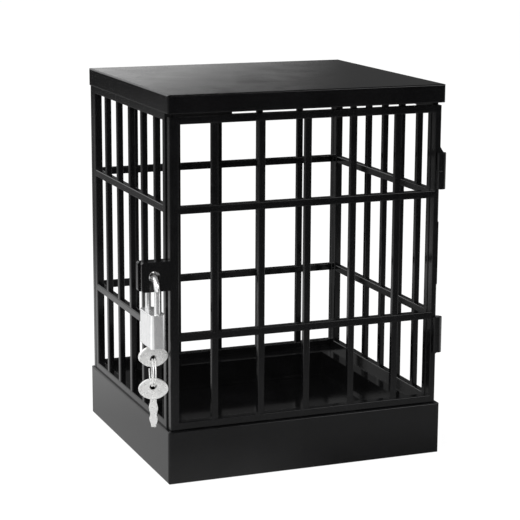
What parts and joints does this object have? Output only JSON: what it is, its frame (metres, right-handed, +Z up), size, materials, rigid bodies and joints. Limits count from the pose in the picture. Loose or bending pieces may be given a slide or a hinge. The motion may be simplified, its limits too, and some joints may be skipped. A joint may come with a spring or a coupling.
{
  "type": "barred phone lock-up box",
  "caption": "Small black barred cage with a flat roof, a plinth with a sunken floor and a hinged barred door, kept shut by a hasp and a small padlock with its keys.",
  "frame": {"origin": "middle of the plinth's underside, on the surface that it stands on", "axes": "+Z up, the door faces -Y, the hinges are at +X and the padlock at -X"},
  "size_m": [0.1613, 0.1373, 0.191],
  "materials": {
    "black_plastic": "satin",
    "pin_steel": "plain",
    "lock_chrome": "polished",
    "lock_brass": "plain",
    "key_nickel": "satin"
  },
  "bodies": {
    "cage": {"base_plinth": "black_plastic", "floor_panel": "black_plastic", "floor_screws": "pin_steel", "left_wall": "black_plastic", "right_wall": "black_plastic", "back_wall": "black_plastic", "wall_screws": "pin_steel", "roof_cap": "black_plastic", "hinge_pin_upper": "pin_steel", "hinge_pin_lower": "pin_steel"},
    "door": {"door_grille": "black_plastic"},
    "shackle": {"shackle": "lock_chrome"},
    "padlock": {"lock_body": "lock_chrome", "lock_top_plate": "lock_chrome", "shackle_spring": "pin_steel", "shackle_pin": "pin_steel", "core_retainer": "pin_steel", "latch_spring": "pin_steel"},
    "latch": {"latch_bolt": "lock_brass"},
    "core": {"core_plug": "lock_brass", "wafers": "lock_brass", "wafer_springs": "pin_steel"},
    "key": {"key_in_lock": "key_nickel"},
    "ring": {"key_ring": "key_nickel"},
    "spare": {"spare_key": "key_nickel"}
  },
  "joints": [
    {"name": "door_swing", "type": "hinge", "parent": "cage", "child": "door", "pos_m": [0.0719, -0.0643, 0.10415], "axis": [0, 0, 1], "range_deg": [0, 180]},
    {"name": "padlock_swing", "type": "hinge", "parent": "door", "child": "shackle", "pos_m": [-0.0796, -0.06105, 0.10326], "axis": [0, 1, 0], "range_deg": [0, 75]},
    {"name": "lock_drop", "type": "slide", "parent": "shackle", "child": "padlock", "axis": [0, 0, -1], "range_m": [0, 0.0055]},
    {"name": "core_turn", "type": "hinge", "parent": "padlock", "child": "core", "pos_m": [-0.0796, -0.06105, 0.076], "axis": [0, 0, 1], "range_deg": [-90, 0]},
    {"name": "latch_slide", "type": "slide", "parent": "padlock", "child": "latch", "axis": [0, -1, 0], "range_m": [0, 0.0013]},
    {"name": "key_slide", "type": "slide", "parent": "core", "child": "key", "axis": [0, 0, -1], "range_m": [0, 0.012]},
    {"name": "ring_swing", "type": "hinge", "parent": "key", "child": "ring", "pos_m": [-0.0796, -0.06105, 0.06326], "axis": [0, 1, 0], "range_deg": [0, 30]},
    {"name": "spare_swing", "type": "hinge", "parent": "ring", "child": "spare", "pos_m": [-0.0796, -0.06105, 0.04924], "axis": [0.2079, 0.9781, 0], "range_deg": [0, 30]}
  ],
  "couplings": [
    {"joint": "core_turn", "follows": "latch_slide", "rad_per_m": -1208.3}
  ]
}
